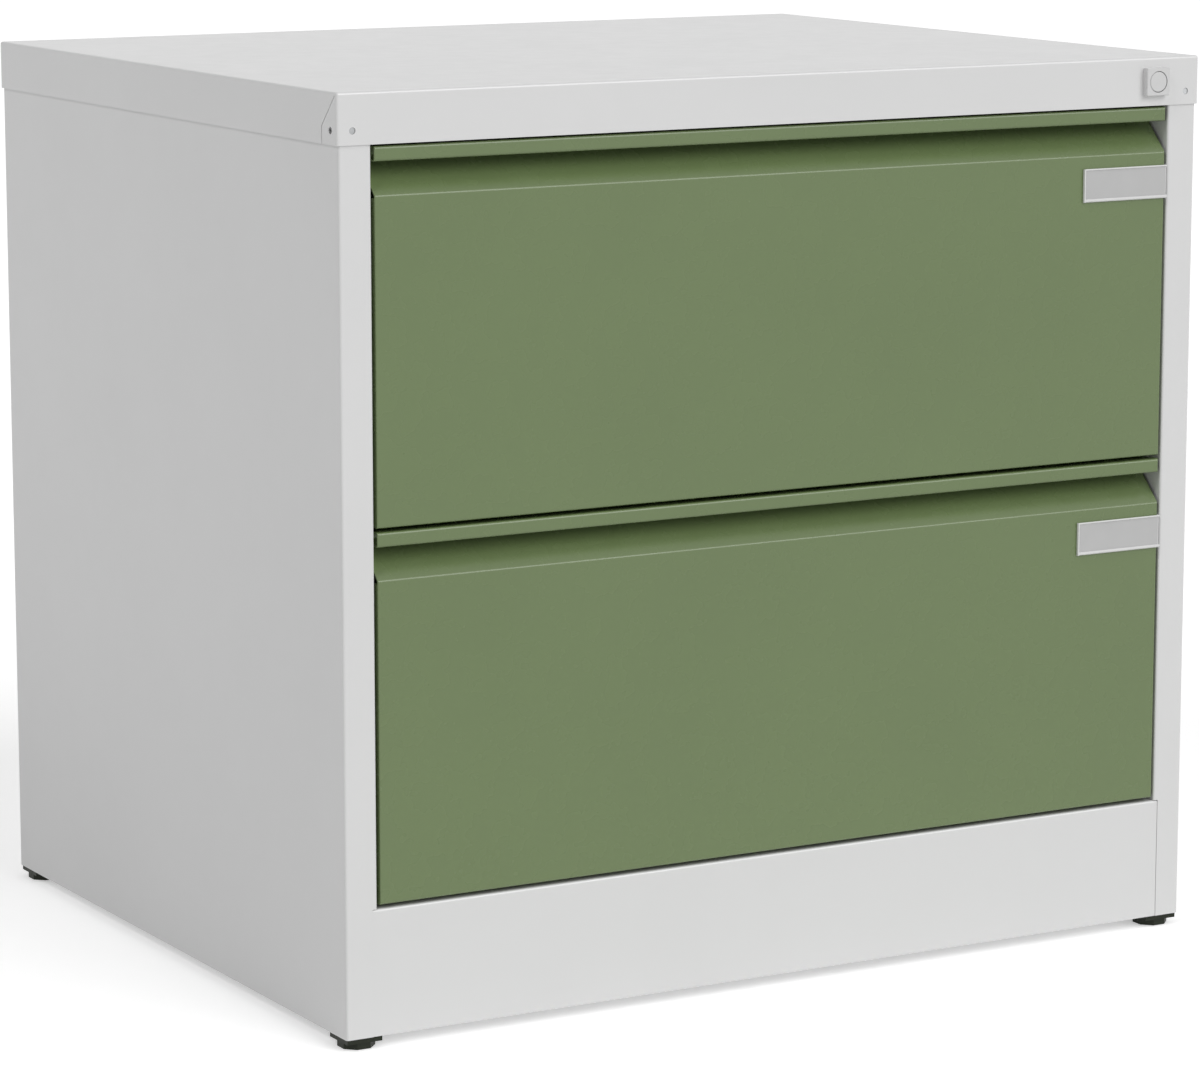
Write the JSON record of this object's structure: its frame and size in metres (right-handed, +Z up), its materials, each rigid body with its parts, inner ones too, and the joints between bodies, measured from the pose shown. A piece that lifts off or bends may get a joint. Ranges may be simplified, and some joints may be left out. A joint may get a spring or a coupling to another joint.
{
  "type": "lateral filing cabinet",
  "caption": "Low steel lateral filing cabinet: grey carcass on levelling feet, green drawers with full-width recessed pulls on ball slides for suspension files, label holders and a cam lock.",
  "frame": {"origin": "on the floor, under the middle of the cap", "axes": "+X to the right seen from the front, +Y to the back, +Z up; the drawers open towards -Y"},
  "size_m": [0.762, 0.6273, 0.708],
  "materials": {
    "body_paint": "fine satin powder coat",
    "front_paint": "satin powder coat",
    "tray_paint": "satin powder coat",
    "zinc": "bright zinc plating",
    "lock_metal": "satin die casting",
    "foot_plastic": "moulded",
    "nylon": "moulded",
    "label_plastic": "smooth",
    "card": "plain card"
  },
  "bodies": {
    "carcass": {"side_panel_left": "body_paint", "side_panel_right": "body_paint", "back_panel": "body_paint", "top_cap": "body_paint", "cap_rivets": "zinc", "plinth_panel": "body_paint", "base_pan": "body_paint", "top_front_rail": "body_paint", "front_upright_left": "zinc", "front_upright_right": "zinc", "rear_upright_left": "zinc", "rear_upright_right": "zinc", "slide_rivets": "zinc", "foot_sockets": "foot_plastic", "lock_housing": "lock_metal", "lock_nut": "zinc", "lock_bar_guides": "nylon", "upper_slide_outer_left": "zinc", "upper_slide_outer_right": "zinc", "lower_slide_outer_left": "zinc", "lower_slide_outer_right": "zinc"},
    "upper_drawer": {"upper_drawer_front": "front_paint", "upper_drawer_liner": "front_paint", "upper_drawer_tray": "tray_paint", "upper_drawer_back": "tray_paint", "upper_drawer_rivets": "zinc", "upper_file_rails": "zinc", "upper_label_holder": "label_plastic", "upper_label_card": "card", "upper_lock_catch": "zinc", "upper_slide_inner_left": "zinc", "upper_slide_inner_right": "zinc"},
    "upper_middle_slides": {"upper_slide_middle_left": "zinc", "upper_slide_middle_right": "zinc"},
    "upper_outer_cages": {"upper_outer_ball_cages": "zinc"},
    "upper_inner_cages": {"upper_inner_ball_cages": "zinc"},
    "lower_drawer": {"lower_drawer_front": "front_paint", "lower_drawer_liner": "front_paint", "lower_drawer_tray": "tray_paint", "lower_drawer_back": "tray_paint", "lower_drawer_rivets": "zinc", "lower_file_rails": "zinc", "lower_label_holder": "label_plastic", "lower_label_card": "card", "lower_lock_catch": "zinc", "lower_slide_inner_left": "zinc", "lower_slide_inner_right": "zinc"},
    "lower_middle_slides": {"lower_slide_middle_left": "zinc", "lower_slide_middle_right": "zinc"},
    "lower_outer_cages": {"lower_outer_ball_cages": "zinc"},
    "lower_inner_cages": {"lower_inner_ball_cages": "zinc"},
    "lock_barrel": {"lock_barrel": "lock_metal", "lock_cam": "zinc"},
    "lock_bar": {"lock_bar": "zinc"},
    "levelling_foot_front_left": {"levelling_foot_front_left": "foot_plastic"},
    "levelling_foot_front_right": {"levelling_foot_front_right": "foot_plastic"},
    "levelling_foot_rear_left": {"levelling_foot_rear_left": "foot_plastic"},
    "levelling_foot_rear_right": {"levelling_foot_rear_right": "foot_plastic"}
  },
  "joints": [
    {"name": "upper_drawer_slide", "type": "slide", "parent": "carcass", "child": "upper_drawer", "axis": [0, -1, 0], "range_m": [0, 0.52]},
    {"name": "upper_middle_slides_travel", "type": "slide", "parent": "carcass", "child": "upper_middle_slides", "axis": [0, -1, 0], "range_m": [0, 0.26]},
    {"name": "upper_outer_cages_travel", "type": "slide", "parent": "carcass", "child": "upper_outer_cages", "axis": [0, -1, 0], "range_m": [0, 0.13]},
    {"name": "upper_inner_cages_travel", "type": "slide", "parent": "carcass", "child": "upper_inner_cages", "axis": [0, -1, 0], "range_m": [0, 0.39]},
    {"name": "lower_drawer_slide", "type": "slide", "parent": "carcass", "child": "lower_drawer", "axis": [0, -1, 0], "range_m": [0, 0.52]},
    {"name": "lower_middle_slides_travel", "type": "slide", "parent": "carcass", "child": "lower_middle_slides", "axis": [0, -1, 0], "range_m": [0, 0.26]},
    {"name": "lower_outer_cages_travel", "type": "slide", "parent": "carcass", "child": "lower_outer_cages", "axis": [0, -1, 0], "range_m": [0, 0.13]},
    {"name": "lower_inner_cages_travel", "type": "slide", "parent": "carcass", "child": "lower_inner_cages", "axis": [0, -1, 0], "range_m": [0, 0.39]},
    {"name": "lock_turn", "type": "hinge", "parent": "carcass", "child": "lock_barrel", "pos_m": [0.3384, -0.311, 0.6889], "axis": [0, 1, 0], "range_deg": [0, 90]},
    {"name": "lock_bar_drop", "type": "slide", "parent": "carcass", "child": "lock_bar", "axis": [0, 0, 1], "range_m": [-0.0099, 0]},
    {"name": "front_left_foot_level", "type": "slide", "parent": "carcass", "child": "levelling_foot_front_left", "axis": [0, 0, 1], "range_m": [-0.012, 0]},
    {"name": "front_right_foot_level", "type": "slide", "parent": "carcass", "child": "levelling_foot_front_right", "axis": [0, 0, 1], "range_m": [-0.012, 0]},
    {"name": "rear_left_foot_level", "type": "slide", "parent": "carcass", "child": "levelling_foot_rear_left", "axis": [0, 0, 1], "range_m": [-0.012, 0]},
    {"name": "rear_right_foot_level", "type": "slide", "parent": "carcass", "child": "levelling_foot_rear_right", "axis": [0, 0, 1], "range_m": [-0.012, 0]}
  ],
  "couplings": [
    {"joint": "upper_middle_slides_travel", "follows": "upper_drawer_slide", "ratio": 0.5},
    {"joint": "upper_outer_cages_travel", "follows": "upper_drawer_slide", "ratio": 0.25},
    {"joint": "upper_inner_cages_travel", "follows": "upper_drawer_slide", "ratio": 0.75},
    {"joint": "lower_middle_slides_travel", "follows": "lower_drawer_slide", "ratio": 0.5},
    {"joint": "lower_outer_cages_travel", "follows": "lower_drawer_slide", "ratio": 0.25},
    {"joint": "lower_inner_cages_travel", "follows": "lower_drawer_slide", "ratio": 0.75},
    {"joint": "lock_turn", "follows": "lock_bar_drop", "rad_per_m": -158.66}
  ]
}
